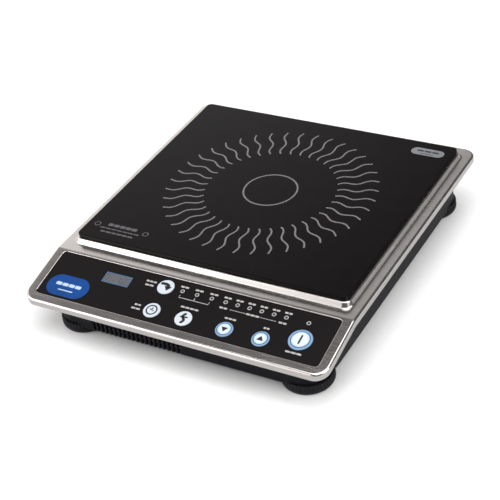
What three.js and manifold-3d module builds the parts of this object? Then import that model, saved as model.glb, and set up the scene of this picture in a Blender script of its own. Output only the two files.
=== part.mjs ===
// Countertop induction cooktop: a pressed steel cover with a raised glass plate and a sloping
// control panel, over a moulded base tray that holds the coil, the power electronics and the fan.
// Millimetres, +Z up. The origin is on the ground under the middle of the body, and the controls
// face -Y.

import * as THREE from 'three';
import { mergeVertices } from 'three/addons/utils/BufferGeometryUtils.js';
import Module from 'manifold-3d';

const wasm = await Module();
wasm.setup();

// ---------------------------------------------------------------- driving dimensions

const gap = 0.3;              // left between pieces that touch
const holeClearance = 0.3;    // radial, round a shank, stem or peg in its hole
const fitClearance = 0.4;     // round a piece that drops into a recess
const overcut = 1;            // by which a cutter passes the surface it cuts
const embed = 0.5;            // by which a joined solid runs into its neighbour
const fineSides = 24;         // facets round a large circle
const coarseSides = 12;       // and round a small one
const cornerSteps = 7;        // facets of a rounded corner wider than largeCorner
const smallCornerSteps = 4;   // and of a smaller one
const largeCorner = 10;

// Body and steel cover
const bodyWidth = 330;
const bodyDepth = 364;
const bodyHeight = 71.5;      // ground to cooking surface
const bodyCorner = 14;
const sheet = 1;
const foldRadius = 2.5;       // fold between the top and the skirt
const skirtHeight = 7;
const panelAngle = THREE.MathUtils.degToRad(12);
const slopeRun = 66.5;        // level distance from the front edge back to the crease

// Glass, its seal and the plinth that carries them
const flangeWidth = 15;       // from the glass edge out to the body's side
const glassSetback = 82;      // from the front edge of the body to the glass
const glassRearMargin = 16;
const glassThickness = 4;
const glassCorner = 5;
const glassBevel = 0.8;
const sealThickness = 0.6;
const sealWidth = 9;
const plinthRise = 5.2;
const plinthMargin = 1.4;     // plinth top beyond the glass edge
const plinthFlare = 2.8;
const ledgeWidth = 14;        // steel left under the edge of the glass

// Control panel, measured across the body and down the slope from the crease
const panelSideMargin = 10.7;
const panelRearMargin = 2.5;
const panelFrontMargin = 9.7;
const panelCorner = 4;
const panelRecess = 1.2;
const overlayThickness = 0.8;
const upperRow = 15.3;
const lowerRow = 44.8;
const buttonRadius = 8.6;
const powerButtonRadius = 11.5;
const powerButtonRow = 35;
const buttonRise = 0.8;       // above the overlay
const buttonRim = 1.2;        // of the lip that holds a button under the steel
const buttonRimThickness = 1;
const buttonTravel = 0.6;
const buttonEdge = 0.5;
const stemRadius = 2.2;
const windowWidth = 31;
const windowLength = 13.6;
const windowLip = 1.6;
const windowCentre = [-80.3, 20.5];
const windowCorner = 0.5;
const moduleClearance = 0.5;  // round the display behind its window
const lightRadius = 2.2;
const lightBarWidth = 6;
const lightBarThickness = 1.5;
const functionLightStart = -8.6;
const functionLightPitch = 16.1;
const functionLightCount = 3;
const levelLightStart = 38.6;
const levelLightPitch = 12.8;
const levelLightCount = 6;
const powerLightX = 125.5;
const controlBoardDrop = 9.5; // from the steel's surface to the top of the board
const controlBoardThickness = 1.6;
const controlBoardInset = 22; // at each end of the panel
const boardClearance = 1.5;   // beside the board and the buttons, to the tray
const switchSize = 6;
const switchHeight = 3;
const studRadius = 2.4;
const studPinRadius = 1.2;
const studInset = 5;

// Base tray
const traySideInset = 18;
const trayFrontInset = 19.5;
const trayRearInset = 7.6;
const trayCorner = 23;
const trayWall = 2.2;
const trayEdge = 2;
const trayStand = 7.7;        // ground to the underside of the tray
const ventCount = 20;
const ventPitch = 5.1;
const ventWidth = 2.4;
const ventHeight = 15;
const ventRun = 9;            // how far each front vent wraps under the tray
const ventStart = -98;
const rearVentCount = 18;
const rearVentPitch = 8;
const rearVentWidth = 3;
const rearVentHeight = 18;
const rearVentBase = 20;
const rearVentCentre = 32;

// Feet and screws
const footRadius = 25.6;
const footPocket = 3.6;
const footEdge = 4;
const footBoreDepth = 5;
const screwRadius = 2;
const screwHeadRadius = 3.8;
const screwHeadHeight = 2.2;
const screwHeadRound = 0.9;
const bossRadius = 5;
const footBossHeight = 9;
const bossFloor = 1;          // left above a blind screw hole
const legRadius = 4;
const legClearance = 0.8;
const legInset = 68;          // from the tray's ends to a cover leg
const coverScrewLength = 16;

// Induction coil
const coilInner = 28;
const coilOuter = 88;
const coilThickness = 4;
const coilTurns = 8;
const coilGroove = 0.7;
const coilSides = 36;
const micaMargin = 10;         // beyond the winding
const micaThickness = 0.5;
const carrierMargin = 6;      // beyond the winding
const carrierThickness = 6;
const carrierRim = 5;
const carrierHub = 26;
const spokeWidth = 16;
const ferriteCount = 6;
const ferriteLength = 46;
const ferriteWidth = 10;
const ferriteHeight = 4.4;
const earStep = 18;           // from the carrier's rim out to its screws
const earRadius = 8;
const sensorRadius = 5;
const sensorHeight = 7;
const sensorEdge = 1;
const sleeveRadius = 9;
const sleeveFloor = 1.5;
const sleeveRise = 1;         // above the coil carrier
const carrierScrewLength = 14;

// Power electronics
const boardStand = 6;
const boardThickness = 1.6;
const pegRise = 2;            // of the locating pegs above the power board
const powerBoardWidth = 150;
const powerBoardDepth = 104;
const powerBoardCentre = [22, 74];
const sinkWidth = 66;
const sinkDepth = 70;
const sinkHeight = 20;
const sinkBase = 3.5;
const sinkFins = 9;
const finThickness = 1.6;
const sinkLeg = 5;
const sinkCentre = [-14, 70];
const deviceThickness = 5;
const deviceSpacing = 14;     // of each device from the middle of the sink
const transistorSize = [16, 21];
const rectifierSize = [22, 24];
const chokeTube = 6;
const chokeRing = 12;
const chokePlace = [78, 48];
const resonanceSize = [32, 16, 25];
const resonancePlace = [55, 105];
const smoothingSize = [20, 34, 24];
const smoothingPlace = [38, 55];
const capacitorCorner = 2;

// Fan
const fanSize = 80;
const fanThickness = 20;
const fanCorner = 5;
const fanRim = 2.5;
const fanTipClearance = 1.5;
const fanHub = 13;
const fanBlades = 7;
const fanBladeThickness = 1.4;
const fanBladePitch = THREE.MathUtils.degToRad(38);
const fanArm = 3;
const fanPegRadius = 1.9;
const fanPegInset = 5;
const fanStand = 4;
const fanSpindle = 1.5;
const fanHubEdge = 1.5;
const rotorClearance = 1;     // over the arms and under the frame's face
const bladeClearance = 2;     // of a blade from the arms and from the frame's face
const bladeTrim = 0.94;       // keeps a tilted blade's corners inside the frame
const bladeRoot = 2;          // how far a blade starts inside the hub
const fanSideMargin = 12;     // from the middle of the body
const fanFrontMargin = 18.5;  // from the front of the tray
const grilleCount = 9;
const grillePitch = 7;
const grilleWidth = 3;
const grilleMargin = 11;

// Cable gland
const glandBore = 4;
const glandNeck = 6.5;
const glandCollar = 9;
const glandCollarThickness = 2.5;
const glandNose = 3;
const glandLip = 1.5;         // of the inner lip beyond the neck
const glandNoseWall = 2;
const glandPlace = [-96, 30];

// ---------------------------------------------------------------- derived places

const bodyFront = -bodyDepth / 2;
const bodyRear = bodyDepth / 2;
const crease = bodyFront + slopeRun;
const slopeLength = slopeRun / Math.cos(panelAngle);
const glassWidth = bodyWidth - 2 * flangeWidth;
const glassDepth = bodyDepth - glassSetback - glassRearMargin;
const glassCentre = (bodyFront + glassSetback + bodyRear - glassRearMargin) / 2;
const glassUnderside = bodyHeight - glassThickness;
const plinthTop = glassUnderside - sealThickness;
const flangeTop = plinthTop - plinthRise;
const plinthWidth = glassWidth + 2 * (plinthMargin + plinthFlare);
const plinthDepth = glassDepth + 2 * (plinthMargin + plinthFlare);
const plinthCorner = glassCorner + plinthMargin + plinthFlare;

const panelWidth = bodyWidth - 2 * panelSideMargin;
const panelLength = slopeLength - panelRearMargin - panelFrontMargin;
const panelMiddle = panelRearMargin + panelLength / 2;
const panelFloor = -panelRecess;
const panelUnder = -panelRecess - sheet;
const overlayTop = panelFloor + gap + overlayThickness;
const boardTop = -controlBoardDrop;
const controlDepth = controlBoardDrop + controlBoardThickness;

const trayWidth = bodyWidth - 2 * traySideInset;
const trayFront = bodyFront + trayFrontInset;
const trayRear = bodyRear - trayRearInset;
const trayDepth = trayRear - trayFront;
const trayCentre = (trayFront + trayRear) / 2;
const trayFloor = trayStand + trayWall;
const trayTop = flangeTop - sheet - gap;
const footX = trayWidth / 2 - trayCorner;
const footPlaces = [
  [-footX, trayFront + trayCorner],
  [footX, trayFront + trayCorner],
  [-footX, trayRear - trayCorner],
  [footX, trayRear - trayCorner],
];
const pocketRoof = trayStand + footPocket;
const legX = trayWidth / 2 - trayWall - legClearance - legRadius;
const legPlaces = [
  [-legX, trayFront + legInset],
  [legX, trayFront + legInset],
  [-legX, trayRear - legInset],
  [legX, trayRear - legInset],
];

const coilCentre = glassCentre;
const carrierRadius = coilOuter + carrierMargin;
const earReach = carrierRadius + earStep;
const coilTop = glassUnderside - gap - micaThickness - gap;
const carrierTop = coilTop - coilThickness - gap;
const carrierBottom = carrierTop - carrierThickness;
const earAngles = [0, 0.8 * Math.PI, 1.2 * Math.PI];
const earPlaces = earAngles.map((angle) => (
  [earReach * Math.cos(angle), earReach * Math.sin(angle)]
));
const ferriteMiddle = (carrierHub + carrierRadius - carrierRim) / 2;
const boardUnder = trayFloor + boardStand;
const powerBoardTop = boardUnder + boardThickness;
const fanBottom = trayFloor + fanStand;
const fanBore = fanSize / 2 - fanRim;
const fanCentre = [
  -(fanSideMargin + fanSize / 2),
  trayFront + fanFrontMargin + fanSize / 2,
];
const fanPegReach = fanSize / 2 - fanPegInset;
const grilleLength = fanSize - 2 * grilleMargin;
const corners = [[-1, -1], [1, -1], [-1, 1], [1, 1]];

// ---------------------------------------------------------------- materials

function finish(color, roughness, metalness) {
  return () => new THREE.MeshStandardMaterial({ color, roughness, metalness });
}

const steel = finish(0xa79c96, 0.35, 1);
const blackGlass = finish(0x262223, 0.12, 0);
const sealRubber = finish(0x101010, 0.7, 0);
const blackFilm = finish(0x211d1e, 0.4, 0);
const windowTint = finish(0x66727d, 0.2, 0);
const whiteKey = finish(0xe8eef2, 0.45, 0);
const blueKey = finish(0xb9d6ee, 0.45, 0);
const clearLight = finish(0xb9b4b0, 0.3, 0);
const greenBoard = finish(0x1f5a34, 0.6, 0);
const blackPlastic = finish(0x1b1a20, 0.6, 0);
const greyPlastic = finish(0x4a4a4e, 0.6, 0);
const footRubber = finish(0x151419, 0.8, 0);
const zinc = finish(0xb8bcc0, 0.35, 1);
const copper = finish(0xb0683a, 0.4, 1);
const mica = finish(0xcfc6ae, 0.7, 0);
const ferrite = finish(0x34343a, 0.7, 0);
const aluminium = finish(0xb4b8bb, 0.4, 1);
const epoxy = finish(0x1d1d1f, 0.5, 0);
const capacitorCase = finish(0xc8862c, 0.5, 0);
const siliconeWhite = finish(0xdedbd2, 0.7, 0);

// ---------------------------------------------------------------- shape helpers

function toSolid(geometry) {
  const bare = geometry.clone();
  bare.deleteAttribute('normal');
  bare.deleteAttribute('uv');
  bare.clearGroups();
  const merged = mergeVertices(bare, 1e-4);
  const vertProperties = new Float32Array(merged.attributes.position.array);
  const triVerts = new Uint32Array(merged.index.array);
  return new wasm.Manifold(new wasm.Mesh({ numProp: 3, vertProperties, triVerts }));
}

function toGeometry(solid) {
  const mesh = solid.getMesh();
  const geometry = new THREE.BufferGeometry();
  geometry.setAttribute('position', new THREE.BufferAttribute(mesh.vertProperties, 3));
  geometry.setIndex(new THREE.BufferAttribute(mesh.triVerts, 1));
  geometry.computeVertexNormals();
  return geometry;
}

function joined(first, ...others) {
  return others.reduce((solid, geometry) => solid.add(toSolid(geometry)), toSolid(first));
}

function without(solid, ...cutters) {
  return cutters.reduce((rest, geometry) => rest.subtract(toSolid(geometry)), solid);
}

function roundedRect(width, depth, radius) {
  const x = width / 2 - radius;
  const y = depth / 2 - radius;
  const quarter = Math.PI / 2;
  const shape = new THREE.Shape();
  shape.absarc(x, y, radius, 0, quarter);
  shape.absarc(-x, y, radius, quarter, 2 * quarter);
  shape.absarc(-x, -y, radius, 2 * quarter, 3 * quarter);
  shape.absarc(x, -y, radius, 3 * quarter, 4 * quarter);
  shape.closePath();
  return shape;
}

function slab(shape, bottom, top, curveSegments) {
  const options = { depth: top - bottom, bevelEnabled: false, curveSegments };
  return new THREE.ExtrudeGeometry(shape, options).translate(0, 0, bottom);
}

function plate(width, depth, radius, bottom, top, centreY = 0, centreX = 0) {
  const segments = radius > largeCorner ? cornerSteps : smallCornerSteps;
  const geometry = slab(roundedRect(width, depth, radius), bottom, top, segments);
  return geometry.translate(centreX, centreY, 0);
}

function box(width, depth, bottom, top, x = 0, y = 0) {
  return new THREE.BoxGeometry(width, depth, top - bottom).translate(x, y, (bottom + top) / 2);
}

function disc(radius, bottom, top, x = 0, y = 0, sides = coarseSides) {
  const geometry = new THREE.CylinderGeometry(radius, radius, top - bottom, sides);
  return geometry.rotateX(Math.PI / 2).translate(x, y, (bottom + top) / 2);
}

// A turned piece about +Z: each profile point is [radius, height].
function turned(profile, sides) {
  const points = profile.map(([radius, height]) => new THREE.Vector2(radius, height));
  return new THREE.LatheGeometry(points, sides).rotateX(Math.PI / 2);
}

// A block with a rounded upper edge that runs `inward` across and `down` from the top.
function softBlock(width, depth, radius, bottom, top, inward, down) {
  const options = {
    depth: top - bottom,
    bevelEnabled: true,
    bevelSize: inward,
    bevelOffset: -inward,
    bevelThickness: down,
    bevelSegments: 2,
    curveSegments: cornerSteps,
  };
  const geometry = new THREE.ExtrudeGeometry(roundedRect(width, depth, radius), options);
  const block = toSolid(geometry.translate(0, 0, bottom - down));
  return without(block, box(2 * width, 2 * depth, bottom - 2 * down - overcut, bottom));
}

// ---------------------------------------------------------------- scene graph helpers

const cooktop = new THREE.Group();
const panel = new THREE.Group();
panel.position.set(0, crease, flangeTop);
panel.rotation.x = panelAngle;
panel.updateMatrix();
cooktop.add(panel);

function place(name, geometry, material, parent = cooktop) {
  const shape = geometry.isBufferGeometry ? geometry : toGeometry(geometry);
  const mesh = new THREE.Mesh(shape, material());
  mesh.name = name;
  parent.add(mesh);
  return mesh;
}

// Moves a geometry made in the panel's frame into the body's frame.
function inBody(geometry) {
  return geometry.applyMatrix4(panel.matrix);
}

// ---------------------------------------------------------------- control layout

function lightRow(count, start, pitch) {
  return Array.from({ length: count }, (_, i) => [start + i * pitch, upperRow]);
}

const functionLights = lightRow(functionLightCount, functionLightStart, functionLightPitch);
const levelLights = lightRow(levelLightCount, levelLightStart, levelLightPitch);
const powerLight = [powerLightX, upperRow];
const allLights = [...functionLights, ...levelLights, powerLight];
const buttons = [
  { name: 'preset_time', x: -27.4, row: upperRow, radius: buttonRadius, material: whiteKey },
  { name: 'set_time', x: -26.4, row: lowerRow, radius: buttonRadius, material: whiteKey },
  { name: 'function', x: 8.5, row: lowerRow, radius: buttonRadius, material: whiteKey },
  { name: 'down', x: 52.5, row: lowerRow, radius: buttonRadius, material: blueKey },
  { name: 'up', x: 90.4, row: lowerRow, radius: buttonRadius, material: blueKey },
  { name: 'power', x: 126.4, row: powerButtonRow, radius: powerButtonRadius, material: blueKey },
];
const studX = panelWidth / 2 - controlBoardInset - studInset;
const [upButton, powerButton] = buttons.slice(-2);
const studPlaces = [
  [-studX, upperRow],
  [-studX, lowerRow],
  [0, (upperRow + lowerRow) / 2],
  [(levelLights[levelLightCount - 1][0] + powerLightX) / 2, upperRow],
  [(upButton.x + powerButton.x) / 2, lowerRow],
];

// ---------------------------------------------------------------- cover

// Turns the level cover forward of the crease into the sloping control face.
function slopeFront(solid) {
  const reach = 2 * bodyDepth;
  const high = 2 * bodyHeight;
  const ahead = box(2 * bodyWidth, reach, -high, high, 0, crease - reach / 2);
  const level = solid.subtract(toSolid(ahead));
  const front = toGeometry(solid.intersect(toSolid(ahead)));
  const position = front.attributes.position;
  for (let i = 0; i < position.count; i += 1) {
    const beyond = Math.min(0, position.getY(i) - Math.fround(crease));
    position.setZ(i, position.getZ(i) + beyond * Math.tan(panelAngle));
  }
  return level.add(toSolid(front));
}

function coverShell() {
  const skirtBottom = flangeTop - skirtHeight;
  const outer = softBlock(bodyWidth, bodyDepth, bodyCorner, skirtBottom, flangeTop,
    foldRadius, foldRadius);
  const inner = softBlock(bodyWidth - 2 * sheet, bodyDepth - 2 * sheet, bodyCorner - sheet,
    skirtBottom - overcut, flangeTop - sheet, foldRadius - sheet, foldRadius - sheet);
  const rise = softBlock(plinthWidth, plinthDepth, plinthCorner, flangeTop - sheet, plinthTop,
    plinthFlare, plinthRise);
  const hollow = softBlock(plinthWidth - 2 * sheet, plinthDepth - 2 * sheet,
    plinthCorner - sheet, flangeTop - 2 * sheet, plinthTop - sheet, plinthFlare, plinthRise);
  const raised = toGeometry(rise).translate(0, glassCentre, 0);
  const beneath = toGeometry(hollow).translate(0, glassCentre, 0);
  return outer.subtract(inner).add(toSolid(raised)).subtract(toSolid(beneath));
}

function coverLegs() {
  const ledgeUnder = plinthTop - sheet;
  const bottom = trayFloor + gap;
  const bore = screwRadius + holeClearance;
  const boreTop = trayStand + coverScrewLength + bossFloor;
  const legs = legPlaces.map(([x, y]) => disc(legRadius, bottom, ledgeUnder + embed, x, y));
  const bores = legPlaces.map(([x, y]) => disc(bore, bottom - overcut, boreTop, x, y));
  return { legs, bores };
}

// Cutters for the buttons and the lights, through the panel and its overlay.
function controlHoles() {
  const keys = buttons.map(({ x, row, radius }) => (
    disc(radius + holeClearance, panelUnder - overcut, overcut, x, -row, fineSides)
  ));
  const lights = allLights.map(([x, row]) => (
    disc(lightRadius + holeClearance, panelUnder - overcut, overcut, x, -row)
  ));
  return [...keys, ...lights];
}

function panelCutters() {
  const opening = plate(windowWidth - 2 * windowLip, windowLength - 2 * windowLip, windowCorner,
    panelUnder - overcut, overcut, -windowCentre[1], windowCentre[0]);
  return [...controlHoles(), opening].map(inBody);
}

function topCover() {
  const opening = plate(glassWidth - 2 * ledgeWidth, glassDepth - 2 * ledgeWidth, glassCorner,
    flangeTop - sheet, bodyHeight, glassCentre);
  const { legs, bores } = coverLegs();
  let cover = slopeFront(coverShell());
  cover = without(cover, opening);
  const pad = plate(panelWidth + 2 * sheet, panelLength + 2 * sheet, panelCorner + sheet,
    panelUnder, -sheet / 2, -panelMiddle);
  const pocket = plate(panelWidth, panelLength, panelCorner, panelFloor, overcut, -panelMiddle);
  const studs = studPlaces.map(([x, row]) => (
    disc(studRadius, boardTop + gap, panelUnder + embed, x, -row)
  ));
  const pins = studPlaces.map(([x, row]) => (
    disc(studPinRadius, boardTop - controlBoardThickness, boardTop + gap + embed, x, -row)
  ));
  const added = [pad, ...studs, ...pins].map(inBody);
  cover = [...added, ...legs].reduce((solid, geometry) => solid.add(toSolid(geometry)), cover);
  return without(cover, inBody(pocket), ...panelCutters(), ...bores);
}

place('top_cover', topCover(), steel);

// ---------------------------------------------------------------- glass and seal

function glassPlate() {
  const shape = roundedRect(glassWidth, glassDepth, glassCorner);
  const options = {
    depth: glassThickness - 2 * glassBevel,
    bevelEnabled: true,
    bevelSize: glassBevel,
    bevelOffset: -glassBevel,
    bevelThickness: glassBevel,
    bevelSegments: 1,
    curveSegments: 4,
  };
  const geometry = new THREE.ExtrudeGeometry(shape, options);
  return geometry.translate(0, glassCentre, glassUnderside + glassBevel);
}

function glassSeal() {
  const shrink = 2 * glassBevel;
  const outer = plate(glassWidth - shrink, glassDepth - shrink, glassCorner - glassBevel,
    plinthTop + gap / 2, glassUnderside - gap / 2, glassCentre);
  const inner = plate(glassWidth - shrink - 2 * sealWidth, glassDepth - shrink - 2 * sealWidth,
    glassCorner - glassBevel, plinthTop - overcut, glassUnderside + overcut, glassCentre);
  return without(toSolid(outer), inner);
}

place('glass_plate', glassPlate(), blackGlass);
place('glass_seal', glassSeal(), sealRubber);

// ---------------------------------------------------------------- control panel pieces

function controlOverlay() {
  const film = plate(panelWidth - 2 * fitClearance, panelLength - 2 * fitClearance,
    panelCorner - fitClearance, panelFloor + gap, overlayTop, -panelMiddle);
  const windowHole = plate(windowWidth, windowLength, windowCorner + fitClearance, panelFloor,
    overcut, -windowCentre[1], windowCentre[0]);
  return without(toSolid(film), windowHole, ...controlHoles());
}

function displayWindow() {
  return plate(windowWidth - 2 * fitClearance, windowLength - 2 * fitClearance, windowCorner,
    panelFloor + gap, overlayTop, -windowCentre[1], windowCentre[0]);
}

// The cap stands through the overlay; its lip sits under the steel, over the switch.
function buttonShape(radius) {
  const top = overlayTop + buttonRise;
  const lipTop = panelUnder - gap;
  const lipBottom = lipTop - buttonRimThickness;
  const stemBottom = boardTop + switchHeight + buttonTravel + gap;
  return turned([
    [0, stemBottom],
    [stemRadius, stemBottom],
    [stemRadius, lipBottom],
    [radius + buttonRim, lipBottom],
    [radius + buttonRim, lipTop],
    [radius, lipTop],
    [radius, top - buttonEdge],
    [radius - buttonEdge, top],
    [0, top],
  ], fineSides);
}

function switchShape() {
  const half = switchHeight / 2;
  const body = box(switchSize, switchSize, boardTop + gap, boardTop + half + gap);
  const plunger = disc(switchSize / 4, boardTop + half, boardTop + switchHeight);
  return joined(body, plunger);
}

buttons.forEach(({ name, x, row, radius, material }) => {
  const button = place(`button_${name}`, buttonShape(radius), material, panel);
  button.position.set(x, -row, 0);
  const tactSwitch = place(`switch_${name}`, switchShape(), epoxy, panel);
  tactSwitch.position.set(x, -row, 0);
});

// One clear moulding: a bar under the steel with a round stem up through it for each light.
function lightPipe(places) {
  const barTop = panelUnder - gap;
  const first = places[0][0];
  const last = places[places.length - 1][0];
  const length = last - first + lightBarWidth;
  const bar = box(length, lightBarWidth, barTop - lightBarThickness, barTop,
    (first + last) / 2, -places[0][1]);
  const stems = places.map(([x, row]) => (
    disc(lightRadius, barTop - lightBarThickness / 2, overlayTop + gap, x, -row)
  ));
  return joined(bar, ...stems);
}

function controlBoard() {
  const width = panelWidth - 2 * controlBoardInset;
  const length = panelLength - 2 * studInset;
  const board = box(width, length, boardTop - controlBoardThickness, boardTop, 0, -panelMiddle);
  const holes = studPlaces.map(([x, row]) => (
    disc(studPinRadius + holeClearance, -controlDepth - overcut, boardTop + overcut, x, -row)
  ));
  return without(toSolid(board), ...holes);
}

function displayModule() {
  const inset = 2 * (windowLip + moduleClearance);
  return box(windowWidth - inset, windowLength - inset, boardTop + gap, panelUnder - gap,
    windowCentre[0], -windowCentre[1]);
}

place('control_overlay', controlOverlay(), blackFilm, panel);
place('display_window', displayWindow(), windowTint, panel);
place('function_light_pipe', lightPipe(functionLights), clearLight, panel);
place('level_light_pipe', lightPipe(levelLights), clearLight, panel);
place('power_light_pipe', lightPipe([powerLight]), clearLight, panel);
place('control_board', controlBoard(), greenBoard, panel);
place('display_module', displayModule(), greyPlastic, panel);

// ---------------------------------------------------------------- screws

// A pan-head screw, head down, its seat at z = 0 and its shank along +Z.
function screwShape(length) {
  return turned([
    [0, -screwHeadHeight],
    [screwHeadRadius - screwHeadRound, -screwHeadHeight],
    [screwHeadRadius, -screwHeadHeight + screwHeadRound],
    [screwHeadRadius, 0],
    [screwRadius, 0],
    [screwRadius, length - screwRadius],
    [0, length],
  ], coarseSides);
}

// ---------------------------------------------------------------- base tray and feet

function trayEnvelope() {
  return softBlock(trayWidth, trayDepth, trayCorner, 0, trayTop - trayStand, trayEdge, trayEdge);
}

// The envelope is made upside down, so that its rounded edge becomes the tray's lower edge.
function trayShell() {
  const flip = toGeometry(trayEnvelope()).rotateX(Math.PI);
  const outer = toSolid(flip.translate(0, trayCentre, trayTop));
  const inner = plate(trayWidth - 2 * trayWall, trayDepth - 2 * trayWall,
    trayCorner - trayWall, trayFloor, trayTop + overcut, trayCentre);
  return { outer, hollow: without(outer, inner) };
}

function trayFeetSeats(outer) {
  const rim = footRadius + fitClearance;
  const seats = footPlaces.map(([x, y]) => disc(rim + trayWall, trayStand,
    pocketRoof + trayWall, x, y, fineSides));
  const bosses = footPlaces.map(([x, y]) => disc(bossRadius, pocketRoof,
    pocketRoof + footBossHeight, x, y));
  const pockets = footPlaces.map(([x, y]) => disc(rim, trayStand - overcut, pocketRoof, x, y,
    fineSides));
  const bores = footPlaces.map(([x, y]) => disc(screwRadius + holeClearance, trayStand,
    pocketRoof + footBossHeight - bossFloor, x, y));
  const within = seats.map((geometry) => toSolid(geometry).intersect(outer));
  return { within, bosses, cutters: [...pockets, ...bores] };
}

function trayVents() {
  const vents = [];
  for (let i = 0; i < ventCount; i += 1) {
    const x = ventStart + i * ventPitch;
    const depth = overcut + trayWall + ventRun;
    vents.push(box(ventWidth, depth, trayStand - overcut, trayStand + ventHeight,
      x, trayFront - overcut + depth / 2));
  }
  for (let i = 0; i < rearVentCount; i += 1) {
    const x = rearVentCentre + (i - (rearVentCount - 1) / 2) * rearVentPitch;
    vents.push(box(rearVentWidth, 4 * trayWall, rearVentBase, rearVentBase + rearVentHeight,
      x, trayRear));
  }
  for (let i = 0; i < grilleCount; i += 1) {
    const x = fanCentre[0] + (i - (grilleCount - 1) / 2) * grillePitch;
    vents.push(box(grilleWidth, grilleLength, trayStand - overcut, trayFloor + overcut, x,
      fanCentre[1]));
  }
  return vents;
}

// Posts for the coil carrier, and stands with locating pegs for the fan and the power board.
function trayPosts() {
  const root = trayFloor - embed;
  const posts = earPlaces.map(([x, y]) => (
    disc(bossRadius, root, carrierBottom - gap, x, coilCentre + y)
  ));
  corners.forEach(([sx, sy]) => {
    const x = fanCentre[0] + sx * fanPegReach;
    const y = fanCentre[1] + sy * fanPegReach;
    posts.push(disc(2 * fanPegRadius, root, fanBottom - gap, x, y));
    posts.push(disc(fanPegRadius, root, fanBottom + fanThickness / 2, x, y));
    const bx = powerBoardCentre[0] + sx * (powerBoardWidth / 2 - bossRadius);
    const by = powerBoardCentre[1] + sy * (powerBoardDepth / 2 - bossRadius);
    posts.push(disc(bossRadius, root, boardUnder - gap, bx, by));
    posts.push(disc(screwRadius, root, powerBoardTop + pegRise, bx, by));
  });
  return posts;
}

function trayBores() {
  const bore = screwRadius + holeClearance;
  const legs = legPlaces.map(([x, y]) => (
    disc(bore, trayStand - overcut, trayFloor + overcut, x, y)
  ));
  const ears = earPlaces.map(([x, y]) => (
    disc(bore, carrierBottom - carrierScrewLength, carrierBottom + overcut, x, coilCentre + y)
  ));
  return [...legs, ...ears];
}

function glandHole() {
  const reach = 2 * trayWall;
  const hole = disc(glandNeck + holeClearance, -reach, reach, 0, 0, fineSides);
  return hole.rotateX(Math.PI / 2).translate(glandPlace[0], trayRear, glandPlace[1]);
}

function baseTray() {
  const { outer, hollow } = trayShell();
  const { within, bosses, cutters } = trayFeetSeats(outer);
  const added = [...bosses, ...trayPosts()].map(toSolid);
  const whole = [...within, ...added].reduce((solid, piece) => solid.add(piece), hollow);
  return without(whole, ...cutters, ...trayBores(), ...trayVents(), glandHole(),
    ...underPanelCutters());
}

// The walls stop under the steel's sloping face, and lower where the board and buttons reach.
function underPanelCutters() {
  const boardEnd = panelWidth / 2 - controlBoardInset;
  const buttonEnds = buttons.map(({ x, radius }) => Math.abs(x) + radius + buttonRim);
  const reach = Math.max(boardEnd, ...buttonEnds) + boardClearance;
  const spans = [
    [2 * bodyWidth, panelUnder - gap],
    [2 * reach, -controlDepth - 2 * gap],
  ];
  return spans.map(([width, floor]) => (
    inBody(box(width, bodyDepth, floor, bodyDepth, 0, -bodyDepth / 2))
  ));
}

// A round rubber foot with a counterbore for its screw.
function footShape() {
  const top = pocketRoof - gap;
  const bore = screwRadius + holeClearance;
  const well = screwHeadRadius + 2 * holeClearance;
  const edge = [0, 1, 2, 3].map((step) => {
    const angle = (step / 3) * (Math.PI / 2);
    return [
      footRadius - footEdge * (1 - Math.sin(angle)),
      footEdge * (1 - Math.cos(angle)),
    ];
  });
  return turned([
    [well, 0],
    ...edge,
    [footRadius, top],
    [bore, top],
    [bore, footBoreDepth],
    [well, footBoreDepth],
    [well, 0],
  ], fineSides);
}

place('base_tray', baseTray(), blackPlastic);
footPlaces.forEach(([x, y], i) => {
  const foot = place(`foot_${i + 1}`, footShape(), footRubber);
  foot.position.set(x, y, 0);
  const length = pocketRoof + footBossHeight - footBoreDepth - 2 * bossFloor;
  const screw = place(`foot_screw_${i + 1}`, screwShape(length), zinc);
  screw.position.set(x, y, footBoreDepth - gap);
});
legPlaces.forEach(([x, y], i) => {
  const screw = place(`cover_screw_${i + 1}`, screwShape(coverScrewLength), zinc);
  screw.position.set(x, y, trayStand - gap);
});

// ---------------------------------------------------------------- coil

// A flat spiral winding, drawn as turns side by side: a ring with a groove between turns.
function coilWinding() {
  const bottom = carrierTop + gap;
  const pitch = (coilOuter - coilInner) / coilTurns;
  const profile = [[coilInner, bottom]];
  profile.push([coilOuter, bottom]);
  for (let i = 0; i < coilTurns; i += 1) {
    const outer = coilOuter - i * pitch;
    profile.push([outer, coilTop - coilGroove]);
    profile.push([outer - pitch / 2, coilTop]);
  }
  profile.push([coilInner, coilTop - coilGroove]);
  profile.push([coilInner, bottom]);
  return turned(profile, coilSides);
}

function coilCarrier() {
  const rimOuter = disc(carrierRadius, carrierBottom, carrierTop, 0, 0, coilSides);
  const rimInner = disc(carrierRadius - carrierRim, carrierBottom - overcut, carrierTop + overcut,
    0, 0, coilSides);
  const hub = disc(carrierHub, carrierBottom, carrierTop, 0, 0, fineSides);
  const spokes = [];
  for (let i = 0; i < ferriteCount; i += 1) {
    const reach = carrierRadius - carrierRim / 2;
    const spoke = box(reach, spokeWidth, carrierBottom, carrierTop, reach / 2, 0);
    spokes.push(spoke.rotateZ(ferriteAngle(i)));
  }
  const start = carrierRadius - carrierRim;
  const arms = earAngles.map((angle) => (
    box(earReach - start, 2 * earRadius, carrierBottom, carrierTop, (earReach + start) / 2, 0)
      .rotateZ(angle)
  ));
  const ears = earPlaces.map(([x, y]) => disc(earRadius, carrierBottom, carrierTop, x, y));
  const ring = without(toSolid(rimOuter), rimInner);
  const parts = [hub, ...spokes, ...arms, ...ears];
  const whole = parts.reduce((solid, part) => solid.add(toSolid(part)), ring);
  return without(whole, ...carrierCutters());
}

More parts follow.
